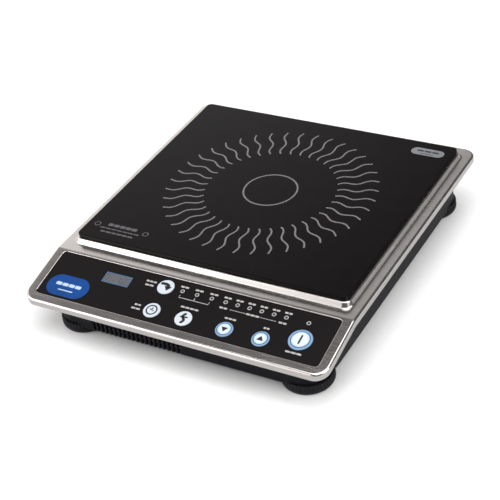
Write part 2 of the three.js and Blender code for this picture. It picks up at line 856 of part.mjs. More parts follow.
function carrierCutters() {
  const pockets = [];
  for (let i = 0; i < ferriteCount; i += 1) {
    const length = ferriteLength + 2 * gap;
    const width = ferriteWidth + 2 * gap;
    const pocket = box(length, width, carrierBottom - overcut,
      carrierBottom + ferriteHeight + gap, ferriteMiddle, 0);
    pockets.push(pocket.rotateZ(ferriteAngle(i)));
  }
  const low = carrierBottom - overcut;
  const high = carrierTop + overcut;
  const holes = earPlaces.map(([x, y]) => disc(screwRadius + holeClearance, low, high, x, y));
  const centre = disc(sleeveRadius + gap, low, high, 0, 0, fineSides);
  return [...pockets, ...holes, centre];
}

function ferriteAngle(i) {
  return (i + 0.5) * 2 * Math.PI / ferriteCount;
}

function sensorSleeve() {
  const bottom = carrierBottom + gap;
  const floor = bottom + sleeveFloor;
  return turned([
    [0, bottom],
    [sleeveRadius, bottom],
    [sleeveRadius, carrierTop + sleeveRise],
    [sensorRadius + gap, carrierTop + sleeveRise],
    [sensorRadius + gap, floor],
    [0, floor],
  ], fineSides);
}

function temperatureSensor() {
  const bottom = carrierBottom + gap + sleeveFloor + gap;
  return turned([
    [0, bottom],
    [sensorRadius - sensorEdge, bottom],
    [sensorRadius, bottom + sensorEdge],
    [sensorRadius, bottom + sensorHeight],
    [0, bottom + sensorHeight],
  ], fineSides);
}

const coil = new THREE.Group();
coil.position.set(0, coilCentre, 0);
cooktop.add(coil);

function micaSheet() {
  const bottom = glassUnderside - gap - micaThickness;
  const side = 2 * (coilOuter + micaMargin);
  return plate(side, side, micaMargin, bottom, bottom + micaThickness);
}

place('mica_sheet', micaSheet(), mica, coil);
place('coil_winding', coilWinding(), copper, coil);
place('coil_carrier', coilCarrier(), greyPlastic, coil);
place('sensor_sleeve', sensorSleeve(), siliconeWhite, coil);
place('temperature_sensor', temperatureSensor(), aluminium, coil);
for (let i = 0; i < ferriteCount; i += 1) {
  const bar = box(ferriteLength, ferriteWidth, carrierBottom,
    carrierBottom + ferriteHeight, ferriteMiddle, 0);
  const mesh = place(`ferrite_bar_${i + 1}`, bar, ferrite, coil);
  mesh.rotation.z = ferriteAngle(i);
}
earPlaces.forEach(([x, y], i) => {
  const screw = place(`carrier_screw_${i + 1}`, screwShape(carrierScrewLength), zinc, coil);
  screw.position.set(x, y, carrierTop + gap);
  screw.rotation.x = Math.PI;
});

// ---------------------------------------------------------------- power electronics

function powerBoard() {
  const [x, y] = powerBoardCentre;
  const board = box(powerBoardWidth, powerBoardDepth, boardUnder, powerBoardTop, x, y);
  const holes = corners.map(([sx, sy]) => (
    disc(screwRadius + holeClearance, boardUnder - overcut, powerBoardTop + overcut,
      x + sx * (powerBoardWidth / 2 - bossRadius),
      y + sy * (powerBoardDepth / 2 - bossRadius))
  ));
  return without(toSolid(board), ...holes);
}

// A finned extrusion on two legs that straddle the power devices.
function heatSink() {
  const floor = powerBoardTop + gap;
  const baseBottom = floor + deviceThickness + 2 * gap;
  const base = box(sinkWidth, sinkDepth, baseBottom, baseBottom + sinkBase);
  const legs = [-1, 1].map((side) => box(sinkLeg, sinkDepth, floor, baseBottom + embed,
    side * (sinkWidth - sinkLeg) / 2, 0));
  const fins = [];
  for (let i = 0; i < sinkFins; i += 1) {
    const span = sinkWidth - finThickness;
    const x = -span / 2 + i * span / (sinkFins - 1);
    fins.push(box(finThickness, sinkDepth, baseBottom + sinkBase - embed,
      baseBottom + sinkHeight, x, 0));
  }
  return joined(base, ...legs, ...fins);
}

// Devices and capacitors stand on the power board.
function powerDevice([width, depth], side) {
  const bottom = powerBoardTop + gap;
  const x = sinkCentre[0] + side * deviceSpacing;
  return box(width, depth, bottom, bottom + deviceThickness, x, sinkCentre[1]);
}

function filterChoke() {
  const torus = new THREE.TorusGeometry(chokeRing, chokeTube, 8, 20);
  return torus.translate(...chokePlace, powerBoardTop + gap + chokeTube);
}

function capacitor([width, depth, height], [x, y]) {
  const bottom = powerBoardTop + gap;
  return plate(width, depth, capacitorCorner, bottom, bottom + height, y, x);
}

const sink = place('heat_sink', heatSink(), aluminium);
sink.position.set(sinkCentre[0], sinkCentre[1], 0);
place('power_board', powerBoard(), greenBoard);
place('power_transistor', powerDevice(transistorSize, -1), epoxy);
place('bridge_rectifier', powerDevice(rectifierSize, 1), epoxy);
place('filter_choke', filterChoke(), copper);
place('resonance_capacitor', capacitor(resonanceSize, resonancePlace), siliconeWhite);
place('smoothing_capacitor', capacitor(smoothingSize, smoothingPlace), capacitorCase);

// ---------------------------------------------------------------- fan

function fanFrame() {
  const top = fanBottom + fanThickness;
  const frame = plate(fanSize, fanSize, fanCorner, fanBottom, top);
  const bore = disc(fanBore, fanBottom - overcut, top + overcut, 0, 0, coilSides);
  const holes = corners.map(([sx, sy]) => (
    disc(fanPegRadius + holeClearance, fanBottom - overcut, top + overcut,
      sx * fanPegReach, sy * fanPegReach)
  ));
  const seat = disc(fanHub, fanBottom, fanBottom + fanArm, 0, 0, fineSides);
  const spindle = disc(fanSpindle, fanBottom, fanBottom + fanThickness / 2);
  const arms = [0, Math.PI / 2].map((angle) => (
    box(2 * (fanBore + embed), fanArm, fanBottom, fanBottom + fanArm).rotateZ(angle)
  ));
  const ring = without(toSolid(frame), bore, ...holes);
  return [seat, spindle, ...arms].reduce((solid, g) => solid.add(toSolid(g)), ring);
}

function fanBlade() {
  const bottom = fanBottom + fanArm + bladeClearance;
  const height = fanThickness - fanArm - 2 * bladeClearance;
  const start = fanHub - bladeRoot;
  const tip = fanBore - fanTipClearance;
  const blade = new THREE.BoxGeometry(tip - start, fanBladeThickness,
    bladeTrim * height / Math.cos(fanBladePitch));
  blade.rotateX(fanBladePitch);
  return blade.translate((tip + start) / 2, 0, bottom + height / 2);
}

function fanRotor() {
  const bottom = fanBottom + fanArm + rotorClearance;
  const top = fanBottom + fanThickness - rotorClearance;
  const boreTop = fanBottom + fanThickness / 2 + rotorClearance;
  const hub = turned([
    [0, boreTop],
    [fanSpindle + holeClearance, boreTop],
    [fanSpindle + holeClearance, bottom],
    [fanHub, bottom],
    [fanHub, top - fanHubEdge],
    [fanHub - fanHubEdge, top],
    [0, top],
  ], fineSides);
  const blades = [];
  for (let i = 0; i < fanBlades; i += 1) {
    blades.push(fanBlade().rotateZ(i * 2 * Math.PI / fanBlades));
  }
  const sweep = disc(fanBore - fanTipClearance, bottom, top, 0, 0, coilSides);
  return joined(hub, ...blades).intersect(toSolid(sweep));
}

const fan = new THREE.Group();
fan.position.set(fanCentre[0], fanCentre[1], 0);
cooktop.add(fan);
place('fan_frame', fanFrame(), blackPlastic, fan);
place('fan_rotor', fanRotor(), greyPlastic, fan);

// ---------------------------------------------------------------- cable gland

// Turned about the cable's axis: nose and collar outside the wall, neck through it, lip inside.
function cableGland() {
  const inside = -trayWall - gap;
  const lip = glandNeck + glandLip;
  const profile = [
    [glandBore, inside - glandCollarThickness],
    [lip, inside - glandCollarThickness],
    [lip, inside],
    [glandNeck, inside],
    [glandNeck, gap],
    [glandCollar, gap],
    [glandCollar, gap + glandCollarThickness],
    [glandBore + glandNoseWall, gap + glandCollarThickness + glandNose],
    [glandBore, gap + glandCollarThickness + glandNose],
    [glandBore, inside - glandCollarThickness],
  ];
  return turned(profile, fineSides).rotateX(-Math.PI / 2);
}

const gland = place('cable_gland', cableGland(), blackPlastic);
gland.position.set(glandPlace[0], trayRear, glandPlace[1]);

export default cooktop;
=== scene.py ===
"""Looks of a one-zone countertop induction cooktop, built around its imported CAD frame.

Shapes are worked out in millimetres in the frame of the CAD, and stored in metres.
"""

import math

import bmesh
import bpy
from mathutils import Matrix, Vector
from mathutils.geometry import delaunay_2d_cdt


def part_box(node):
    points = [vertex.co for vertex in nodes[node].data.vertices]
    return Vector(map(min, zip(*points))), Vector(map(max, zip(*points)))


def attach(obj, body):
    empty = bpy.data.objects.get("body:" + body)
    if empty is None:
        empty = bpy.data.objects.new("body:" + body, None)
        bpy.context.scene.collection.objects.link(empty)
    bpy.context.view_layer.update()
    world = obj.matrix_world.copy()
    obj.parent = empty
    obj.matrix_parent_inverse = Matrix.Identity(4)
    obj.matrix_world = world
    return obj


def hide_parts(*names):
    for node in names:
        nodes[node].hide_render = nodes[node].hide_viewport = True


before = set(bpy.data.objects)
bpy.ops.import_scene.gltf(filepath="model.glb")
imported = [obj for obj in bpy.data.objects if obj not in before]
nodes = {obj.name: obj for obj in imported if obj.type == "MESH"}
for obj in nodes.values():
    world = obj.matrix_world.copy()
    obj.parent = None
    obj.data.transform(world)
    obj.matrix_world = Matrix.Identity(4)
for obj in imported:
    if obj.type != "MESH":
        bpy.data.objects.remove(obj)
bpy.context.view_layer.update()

MM = 0.001
QUARTER = math.pi / 2

# ---------------------------------------------------------------- sizes shared with the CAD

SHEET = 1.0
FOLD = 2.5
SKIRT = 7.0
BODY_CORNER = 14.0
FLANGE_TOP = 61.7
PLINTH_RISE = 5.2
LEDGE = 14.0
CREASE_Y = -115.5
PANEL_ANGLE = math.radians(12)
PANEL_X = 154.3
PANEL_REAR, PANEL_FRONT = 2.5, 58.3
PANEL_CORNER = 4.0
PANEL_FLOOR = -1.2
HOLE_CLEARANCE = 0.3
FILM_INSET = 0.4
FILM_LOW, FILM_TOP = -0.9, -0.1
WINDOW_CORNER = 0.5
WINDOW_LIP = 1.6
LIGHT_RADIUS = 2.2
KEY_LIP = 1.2
GLASS_CORNER = 5.0
PRINT = 0.03  # thickness of a printed mark

WELD = 1e-6
SHARP_ANGLE = math.radians(32)


def extent(node):
    """Lowest and highest corner of a CAD node, in millimetres."""
    low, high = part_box(node)
    return low / MM, high / MM


body_low, body_high = extent("top_cover")
glass_low, glass_high = extent("glass_plate")
PANEL = Matrix.Translation((0, CREASE_Y, FLANGE_TOP)) @ Matrix.Rotation(PANEL_ANGLE, 4, "X")


def panel_points(node):
    """The points of a CAD node in the panel's own frame, in millimetres."""
    inverse = PANEL.inverted()
    return [inverse @ (v.co / MM) for v in nodes[node].data.vertices]


def panel_extent(node):
    """Lowest and highest corner of a CAD node in the panel's own frame, in millimetres."""
    points = panel_points(node)
    low = Vector(min(p[k] for p in points) for k in range(3))
    high = Vector(max(p[k] for p in points) for k in range(3))
    return low, high


# ---------------------------------------------------------------- outlines


def circle(radius, steps, x=0.0, y=0.0):
    """A circle of that many points, counterclockwise."""
    angles = [2 * math.pi * i / steps for i in range(steps)]
    return [(x + radius * math.cos(a), y + radius * math.sin(a)) for a in angles]


def rounded(low, high, radius, steps=10, cuts=()):
    """A rounded rectangle, counterclockwise, with extra points at the heights in cuts."""
    corners = [
        (high[0] - radius, high[1] - radius, 0),
        (low[0] + radius, high[1] - radius, 1),
        (low[0] + radius, low[1] + radius, 2),
        (high[0] - radius, low[1] + radius, 3),
    ]
    arcs = []
    for x, y, turn in corners:
        angles = [QUARTER * (turn + k / steps) for k in range(steps + 1)]
        arcs.append([(x + radius * math.cos(a), y + radius * math.sin(a)) for a in angles])
    right = [(high[0], y) for y in cuts]
    left = [(low[0], y) for y in reversed(cuts)]
    return right + arcs[0] + arcs[1] + left + arcs[2] + arcs[3]


def stroke(path, width, cap=6):
    """The outline of a line of that width along an open path, with round ends."""
    points = [Vector(p) for p in path]
    sides = [[], []]
    for i, p in enumerate(points):
        along = (points[min(i + 1, len(points) - 1)] - points[max(i - 1, 0)]).normalized()
        across = Vector((-along.y, along.x)) * width / 2
        sides[0].append(tuple(p + across))
        sides[1].append(tuple(p - across))
    ends = []
    for tip, inner in ((points[-1], points[-2]), (points[0], points[1])):
        start = math.atan2(*reversed(tip - inner)) + QUARTER
        angles = [start - math.pi * k / cap for k in range(1, cap)]
        ends.append([(tip.x + width / 2 * math.cos(a), tip.y + width / 2 * math.sin(a)) for a in angles])
    return sides[0] + ends[0] + sides[1][::-1] + ends[1]


def curve(start, control, end, steps=4):
    """Points of a quadratic curve, both ends included."""
    points = []
    for t in (k / steps for k in range(steps + 1)):
        axes = zip(start, control, end, strict=True)
        points.append(tuple((1 - t) ** 2 * a + 2 * t * (1 - t) * b + t * t * c for a, b, c in axes))
    return points


def inside(point, loop):
    """Whether a point lies within a closed outline."""
    within = False
    for (x0, y0), (x1, y1) in zip(loop, loop[1:] + loop[:1], strict=True):
        if (y0 > point[1]) != (y1 > point[1]):
            if point[0] < x0 + (point[1] - y0) * (x1 - x0) / (y1 - y0):
                within = not within
    return within


# ---------------------------------------------------------------- meshes


class Shape:
    """Points and faces of one piece, in millimetres."""

    def __init__(self, matrix=None):
        self.points = []
        self.faces = []
        self.matrix = matrix or Matrix.Identity(4)

    def add(self, points, faces):
        """Adds points and the faces between them, placed by the shape's own matrix."""
        start = len(self.points)
        self.points += [self.matrix @ Vector(p) for p in points]
        self.faces += [[start + i for i in face] for face in faces]
        return self

    def loft(self, rings, first=False, last=False):
        """Joins rings of equal count, and closes the first or the last one if asked."""
        count = len(rings[0])
        faces = []
        for r in range(len(rings) - 1):
            for i in range(count):
                j = (i + 1) % count
                faces.append((r * count + i, r * count + j, (r + 1) * count + j, (r + 1) * count + i))
        if first:
            faces.append(tuple(range(count)))
        if last:
            faces.append(tuple(range((len(rings) - 1) * count, len(rings) * count)))
        return self.add([p for ring in rings for p in ring], faces)

    def fill(self, loops, chords=()):
        """Fills the area inside the first loop and outside the others, seen along Z."""
        points = [p for loop in loops for p in loop]
        flat = [Vector((p[0], p[1])) for p in points]
        edges = list(chords)
        start = 0
        for loop in loops:
            edges += [(start + i, start + (i + 1) % len(loop)) for i in range(len(loop))]
            start += len(loop)
        _, _, faces, origins, _, _ = delaunay_2d_cdt(flat, edges, [], 0, WELD)
        outlines = [[(p[0], p[1]) for p in loop] for loop in loops]
        kept = []
        for face in faces:
            corners = [origins[i][0] for i in face]
            centre = sum((flat[i] for i in corners), Vector((0, 0))) / 3
            if inside(centre, outlines[0]) and not any(inside(centre, hole) for hole in outlines[1:]):
                kept.append(corners)
        return self.add(points, kept)

    def prism(self, loops, low, high):
        """A flat plate between two heights; its first loop is the outline and the rest are holes."""
        for height in (low, high):
            self.fill([[(x, y, height) for x, y in loop] for loop in loops])
        for loop in loops:
            self.loft([[(x, y, height) for x, y in loop] for height in (low, high)])
        return self

    def turn(self, profile, steps, x, y):
        """A piece turned about an upright axis from (radius, height) points, capped at both ends."""
        rings = [[(a, b, height) for a, b in circle(radius, steps, x, y)] for radius, height in profile]
        return self.loft(rings, first=True, last=True)


def build(name, shape, material, body="housing", replaces=()):
    """Makes the piece, welds it, turns its faces outwards and lets it ride on a body."""
    mesh = bpy.data.meshes.new(name)
    mesh.from_pydata([p * MM for p in shape.points], [], shape.faces)
    work = bmesh.new()
    work.from_mesh(mesh)
    bmesh.ops.remove_doubles(work, verts=work.verts, dist=WELD)
    bmesh.ops.recalc_face_normals(work, faces=work.faces)
    work.to_mesh(mesh)
    work.free()
    mesh.shade_smooth()
    mesh.set_sharp_from_angle(angle=SHARP_ANGLE)
    mesh.materials.append(material)
    piece = bpy.data.objects.new(name, mesh)
    bpy.context.scene.collection.objects.link(piece)
    weights = piece.modifiers.new("weights", "WEIGHTED_NORMAL")
    weights.keep_sharp = True
    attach(piece, body)
    if replaces:
        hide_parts(*replaces)
    return piece


# ---------------------------------------------------------------- materials


class Finish:
    """A procedural material: a Principled shader fed by noise in object space."""

    def __init__(self, name, color, roughness, **sockets):
        self.material = bpy.data.materials.new(name)
        self.material.use_nodes = True
        self.tree = self.material.node_tree
        self.shader = self.tree.nodes["Principled BSDF"]
        self.coordinates = self.tree.nodes.new("ShaderNodeTexCoord")
        self.set(Base_Color=(*color, 1.0), Roughness=roughness, **sockets)
        self.material.diffuse_color = (*color, 1.0)

    def set(self, **sockets):
        """Gives the shader's sockets a value or a link; spaces in their names are underscores."""
        for name, value in sockets.items():
            socket = self.shader.inputs[name.replace("_", " ")]
            if isinstance(value, bpy.types.NodeSocket):
                self.tree.links.new(value, socket)
            else:
                socket.default_value = value
        return self

    def node(self, kind, inputs=(), **settings):
        """A node with its settings, and with a value or a link in each named input."""
        made = self.tree.nodes.new(kind)
        for key, value in settings.items():
            setattr(made, key, value)
        for key, value in dict(inputs).items():
            if isinstance(value, bpy.types.NodeSocket):
                self.tree.links.new(value, made.inputs[key])
            else:
                made.inputs[key].default_value = value
        return made

    def noise(self, size, detail=2.0, stretch=(1, 1, 1), seed=0.0):
        """Noise whose features are about size millimetres, longer along a stretched axis."""
        scale = tuple(1000.0 / (size * s) for s in stretch)
        place = self.node(
            "ShaderNodeMapping",
            {"Vector": self.coordinates.outputs["Object"], "Scale": scale, "Location": (seed, seed, seed)},
        )
        texture = self.node(
            "ShaderNodeTexNoise",
            {"Vector": place.outputs[0], "Scale": 1.0, "Detail": detail, "Roughness": 0.55},
        )
        return texture.outputs["Fac"]

    def spread(self, value, low, high, start=0.3, end=0.7):
        """Maps start..end of a value onto low..high."""
        made = self.node(
            "ShaderNodeMapRange",
            {"Value": value, "From Min": start, "From Max": end, "To Min": low, "To Max": high},
        )
        return made.outputs["Result"]

    def tint(self, value, dark, light, start=0.3, end=0.7):
        """Mixes two colours by a value."""
        share = self.spread(value, 0.0, 1.0, start, end)
        made = self.node("ShaderNodeMix", data_type="RGBA")
        self.tree.links.new(share, made.inputs["Factor"])
        made.inputs[6].default_value = (*dark, 1.0)
        made.inputs[7].default_value = (*light, 1.0)
        return made.outputs[2]

    def bump(self, height, depth):
        """A bump of that depth in millimetres."""
        inputs = {"Height": height, "Distance": depth * MM, "Strength": 1.0}
        return self.node("ShaderNodeBump", inputs).outputs["Normal"]

    def calculate(self, operation, first, second=None):
        """One sum of the shader's own arithmetic."""
        inputs = {0: first} if second is None else {0: first, 1: second}
        return self.node("ShaderNodeMath", inputs, operation=operation).outputs[0]


def linear(red, green, blue):
    """A linear colour from the usual 0 to 255 screen values."""
    shares = [c / 255 for c in (red, green, blue)]
    return tuple(c / 12.92 if c <= 0.04 else ((c + 0.055) / 1.055) ** 2.4 for c in shares)


def shade(color, share):
    """A colour made darker or lighter by a factor."""
    return tuple(c * share for c in color)


def moulded(name, color, roughness, grain, depth, contrast, specular=0.5):
    """Plastic, rubber, ceramic or ink with a fine grain, faint blotches and uneven gloss."""
    finish = Finish(name, color, roughness, Specular_IOR_Level=specular)
    blotch = finish.noise(22.0, 3.0)
    fine = finish.noise(grain, 2.0, seed=3.1)
    return finish.set(
        Base_Color=finish.tint(blotch, shade(color, 1 - contrast), shade(color, 1 + contrast)),
        Roughness=finish.spread(fine, roughness - 0.06, roughness + 0.06),
        Normal=finish.bump(fine, depth),
    ).material


def metal(name, color, roughness, size, stretch, depth, contrast=0.06):
    """Metal with drawn or brushed streaks along the stretched axis."""
    finish = Finish(name, color, roughness, Metallic=1.0)
    streak = finish.noise(size, 3.0, stretch)
    broad = finish.noise(14.0, 2.0, seed=1.7)
    return finish.set(
        Base_Color=finish.tint(broad, shade(color, 1 - contrast), shade(color, 1 + contrast)),
        Roughness=finish.spread(streak, roughness - 0.07, roughness + 0.07),
        Normal=finish.bump(streak, depth),
    ).material


def brushed_steel():
    """Sheet brushed across the body; the strokes of the side skirts run front to back.

    Sheet that stands upright gets painted shade: it is coloured darker than sheet that lies flat.
    """
    color = (0.6, 0.57, 0.55)
    finish = Finish("brushed_steel", color, 0.3, Metallic=1.0)
    across = finish.noise(0.6, 2.0, (45, 1, 1))
    along = finish.noise(0.6, 2.0, (1, 45, 1), seed=5.0)
    normal = finish.node("ShaderNodeSeparateXYZ", {"Vector": finish.coordinates.outputs["Normal"]})
    side = finish.spread(finish.calculate("ABSOLUTE", normal.outputs["X"]), 0.0, 1.0, 0.55, 0.75)
    # painted shade: this mask picks upright sheet (the skirts) for a darker copy of the steel colour
    upright = finish.spread(finish.calculate("ABSOLUTE", normal.outputs["Z"]), 1.0, 0.0, 0.2, 0.5)
    streak = finish.node("ShaderNodeMix", {"Factor": side, 2: across, 3: along}).outputs[0]
    band = finish.noise(3.2, 2.0, (60, 1, 1), seed=2.0)
    smudge = finish.noise(40.0, 2.0, seed=8.0)
    tone = finish.calculate("ADD", streak, band)
    flat = finish.tint(tone, shade(color, 0.955), shade(color, 1.04), 0.7, 1.3)
    # painted shade: a darker copy of the same steel colour, laid on the upright skirts
    skirt = finish.tint(tone, shade(color, 0.54), shade(color, 0.6), 0.7, 1.3)
    painted_shade_mix = finish.node("ShaderNodeMix", {0: upright, 6: flat, 7: skirt}, data_type="RGBA")
    gloss = finish.calculate("ADD", finish.spread(streak, 0.17, 0.27), finish.spread(smudge, -0.02, 0.02))
    return finish.set(
        Base_Color=painted_shade_mix.outputs[2], Roughness=gloss, Normal=finish.bump(streak, 0.0009)
    ).material


def polished_glass():
    """Black ceramic glass: a mirror gloss with the faint waviness of rolled glass."""
    color = (0.0032, 0.0024, 0.0026)
    finish = Finish("black_glass", color, 0.07, IOR=1.5, Specular_IOR_Level=0.06)
    wave = finish.noise(60.0, 1.0)
    haze = finish.noise(18.0, 4.0, seed=4.0)
    return finish.set(
        Base_Color=finish.tint(haze, shade(color, 0.85), shade(color, 1.2)),
        Roughness=finish.spread(haze, 0.05, 0.1),
        Normal=finish.bump(wave, 0.03),
    ).material


def circuit_board():
    """Green solder mask over a maze of tracks, with tinned pads."""
    finish = Finish("circuit_board", (0.012, 0.1, 0.035), 0.38)
    place = finish.node(
        "ShaderNodeMapping", {"Vector": finish.coordinates.outputs["Object"], "Scale": (400, 400, 400)}
    )
    tracks = finish.node(
        "ShaderNodeTexVoronoi",
        {"Vector": place.outputs[0], "Scale": 1.0, "Randomness": 0.35},
        feature="F1",
        distance="MANHATTAN",
    ).outputs["Distance"]
    pads = finish.node(
        "ShaderNodeTexVoronoi", {"Vector": place.outputs[0], "Scale": 0.45, "Randomness": 0.6}
    ).outputs["Distance"]
    return finish.set(
        Base_Color=finish.tint(tracks, (0.02, 0.15, 0.05), (0.008, 0.07, 0.022), 0.35, 0.4),
        Metallic=finish.spread(pads, 1.0, 0.0, 0.1, 0.13),
        Roughness=finish.spread(tracks, 0.32, 0.45),
        Normal=finish.bump(tracks, 0.03),
    ).material


def wound_copper():
    """Enamelled litz wire: fine strands round the middle of the coil."""
    finish = Finish("copper_wire", (0.5, 0.2, 0.075), 0.35, Metallic=1.0)
    strands = finish.noise(0.5, 3.0, (1, 1, 1))
    tone = finish.noise(6.0, 2.0, seed=6.0)
    return finish.set(
        Base_Color=finish.tint(tone, (0.36, 0.13, 0.045), (0.6, 0.26, 0.1)),
        Roughness=finish.spread(strands, 0.26, 0.45),
        Normal=finish.bump(strands, 0.06),
    ).material


def display_tint():
    """A smoked window over an unlit panel, with a slight blue cast."""
    finish = Finish("display_tint", linear(84, 85, 88), 0.22)
    veil = finish.noise(7.0, 2.0)
    dust = finish.noise(0.4, 2.0, seed=2.2)
    return finish.set(
        Base_Color=finish.tint(veil, linear(77, 79, 83), linear(91, 91, 93)),
        Roughness=finish.spread(dust, 0.18, 0.27),
        Normal=finish.bump(dust, 0.002),
    ).material


# Colour, roughness, size of the grain, its depth, contrast of the blotches, specular level.
MOULDED = {
    "black_silicone": ((0.003, 0.003, 0.003), 0.6, 0.8, 0.02, 0.12, 0.2),
    "overlay_film": ((0.0042, 0.0031, 0.0033), 0.38, 0.35, 0.004, 0.08, 0.14),
    "white_key": (linear(184, 191, 199), 0.36, 0.5, 0.004, 0.03),
    "blue_key": (linear(114, 145, 176), 0.34, 0.5, 0.004, 0.04),
    "black_epoxy": ((0.014, 0.014, 0.015), 0.5, 0.4, 0.02, 0.12),
    "clear_light": (linear(52, 49, 49), 0.25, 0.6, 0.003, 0.05),
    "inner_plastic": ((0.065, 0.065, 0.07), 0.5, 0.7, 0.02, 0.12),
    "base_plastic": ((0.0034, 0.0029, 0.0054), 0.42, 0.7, 0.02, 0.15, 0.08),
    "foot_rubber": ((0.0078, 0.0069, 0.0088), 0.55, 0.9, 0.03, 0.18, 0.15),
    "mica": ((0.62, 0.57, 0.42), 0.55, 2.5, 0.02, 0.18),
    "ferrite": ((0.035, 0.035, 0.04), 0.5, 0.5, 0.04, 0.2),
    "white_silicone": ((0.72, 0.7, 0.63), 0.55, 0.8, 0.02, 0.05),
    "capacitor_case": ((0.57, 0.24, 0.03), 0.38, 0.8, 0.02, 0.1),
    "glass_print": (linear(100, 96, 99), 0.45, 0.5, 0.002, 0.06),
    "glass_print_faint": (linear(72, 69, 73), 0.45, 0.5, 0.002, 0.06),
    "panel_print": (linear(160, 158, 158), 0.45, 0.4, 0.002, 0.05),
    "key_print": (linear(12, 12, 14), 0.4, 0.4, 0.002, 0.1),
    "key_line": (linear(26, 56, 102), 0.4, 0.4, 0.002, 0.05),
    "key_pale": (linear(168, 188, 208), 0.36, 0.4, 0.002, 0.03),
    "key_centre": (linear(192, 200, 208), 0.36, 0.4, 0.002, 0.03),
    "badge_blue": (linear(3, 58, 122), 0.34, 0.6, 0.004, 0.12, 0.3),
    "badge_border": (linear(165, 184, 204), 0.35, 0.5, 0.003, 0.06),
    "badge_ink": (linear(34, 42, 52), 0.4, 0.4, 0.002, 0.1),
    "window_rim": (linear(56, 90, 126), 0.35, 0.5, 0.003, 0.08),
    "segment_shade": (linear(84, 88, 94), 0.3, 0.5, 0.002, 0.05),
}

# Colour, roughness, size of the streaks, their stretch along each axis, their depth.
METALS = {
    "zinc_steel": ((0.6, 0.61, 0.62), 0.3, 0.5, (1, 1, 12), 0.004),
    "sink_aluminium": ((0.62, 0.63, 0.64), 0.36, 0.4, (1, 40, 1), 0.006),
    "badge_silver": ((0.42, 0.44, 0.47), 0.36, 0.4, (30, 1, 1), 0.004),
}

PALETTE = {
    "brushed_steel": brushed_steel(),
    "black_glass": polished_glass(),
    "circuit_board": circuit_board(),
    "copper_wire": wound_copper(),
    "display_tint": display_tint(),
}
PALETTE |= {name: moulded(name, *look) for name, look in MOULDED.items()}
PALETTE |= {name: metal(name, *look) for name, look in METALS.items()}

for node in nodes.values():
    slot_name = node.data.materials[0].name.split(".")[0]
    node.data.materials[0] = PALETTE[slot_name]

# ---------------------------------------------------------------- camera, light and floor

LENS = 99.84
BACK = Vector((0.4499, -0.6759, 0.5837)).normalized()
RIGHT = Vector((0.8700, 0.4793, -0.1157)).normalized()
AIM = Vector((0.0348, -0.0720, 0.0773))
DISTANCE = 1.3184


def make_camera():
    """The camera that looks at the object from the front right, with a long lens."""
    data = bpy.data.cameras.new("camera")
    data.lens = LENS
    data.sensor_width = 36.0
    data.clip_start, data.clip_end = 0.05, 60.0
    camera = bpy.data.objects.new("camera", data)
    bpy.context.scene.collection.objects.link(camera)
    up = BACK.cross(RIGHT).normalized()
    right = up.cross(BACK)
    turn = Matrix((right, up, BACK)).transposed().to_4x4()
    camera.matrix_world = Matrix.Translation(AIM + BACK * DISTANCE) @ turn
    bpy.context.scene.camera = camera


def softbox(name, place, target, size, power):
    """A soft rectangular lamp, turned towards its target."""
    data = bpy.data.lights.new(name, "AREA")
    data.shape = "RECTANGLE"
    data.size, data.size_y = size
    data.energy = power
    lamp = bpy.data.objects.new(name, data)
    bpy.context.scene.collection.objects.link(lamp)
    lamp.location = place
    lamp.rotation_mode = "QUATERNION"
    lamp.rotation_quaternion = (Vector(target) - Vector(place)).to_track_quat("-Z", "Y")


DOME_LIGHT = 0.12
WALL_LIGHT = 1.3
FRONT_LIGHT = 0.45
WALL_RIGHT, WALL_LEFT = -0.18, -0.52
WALL_TOP, WALL_FOOT = 0.85, 0.42
FLOOR_REACH, FLOOR_CORNER = 6000, 2500


def sky(tree):
    """Brightness of the dome by direction: a wide pale wall on the left, dim behind and above."""

    def ramp(value, start, end):
        made = tree.nodes.new("ShaderNodeMapRange")
        made.interpolation_type = "SMOOTHSTEP"
        tree.links.new(value, made.inputs["Value"])
        made.inputs["From Min"].default_value = start
        made.inputs["From Max"].default_value = end
        return made.outputs["Result"]

    def join(operation, first, second):
        made = tree.nodes.new("ShaderNodeMath")
        made.operation = operation
        for socket, value in zip(made.inputs, (first, second), strict=False):
            if isinstance(value, bpy.types.NodeSocket):
                tree.links.new(value, socket)
            else:
                socket.default_value = value
        return made.outputs[0]

    direction = tree.nodes.new("ShaderNodeTexCoord")
    parts = tree.nodes.new("ShaderNodeSeparateXYZ")
    tree.links.new(direction.outputs["Generated"], parts.inputs[0])
    x, y, z = parts.outputs
    left = join("MULTIPLY", ramp(x, WALL_RIGHT, WALL_LEFT), ramp(z, WALL_TOP, WALL_FOOT))
    front = join("MULTIPLY", ramp(y, 0.1, -0.7), ramp(x, -0.1, -0.6))
    lit = join("ADD", join("MULTIPLY", left, WALL_LIGHT), join("MULTIPLY", front, FRONT_LIGHT))
    return join("ADD", lit, DOME_LIGHT)


